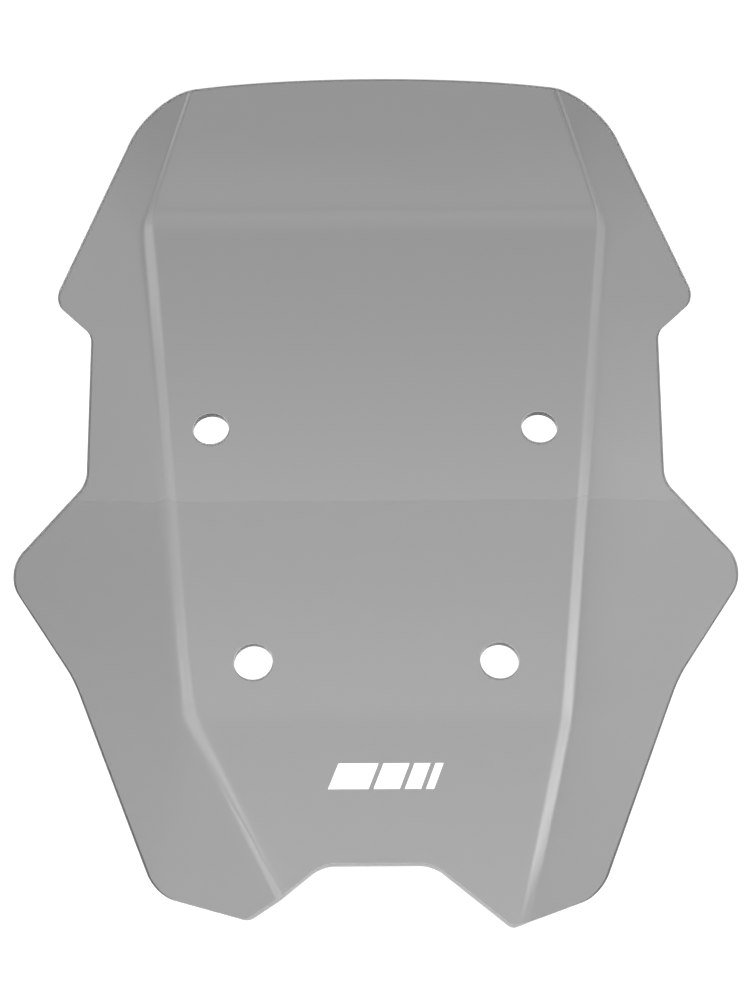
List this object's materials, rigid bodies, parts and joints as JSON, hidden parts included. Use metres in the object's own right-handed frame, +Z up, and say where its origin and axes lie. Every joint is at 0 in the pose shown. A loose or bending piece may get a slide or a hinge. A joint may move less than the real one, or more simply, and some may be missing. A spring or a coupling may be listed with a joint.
{
  "type": "windshield screen",
  "caption": "Tall touring windshield screen for a motorcycle: smoked acrylic sheet with an upright lip, folded wings, a raked skirt and bare mounting holes.",
  "frame": {"origin": "middle of the four-hole pattern, on the inner face of the sheet where it bears on its carrier", "axes": "+Z up and the sheet's longest way, -Y forwards so that the outer face looks along -Y, X from wing to wing; the screen stands raked as mounted"},
  "size_m": [0.4222, 0.2591, 0.4641],
  "materials": {
    "smoked_acrylic": "clear gloss, light smoke tint",
    "white_film": "satin white film"
  },
  "bodies": {
    "root": {"screen": "smoked_acrylic", "mark": "white_film"}
  },
  "joints": []
}
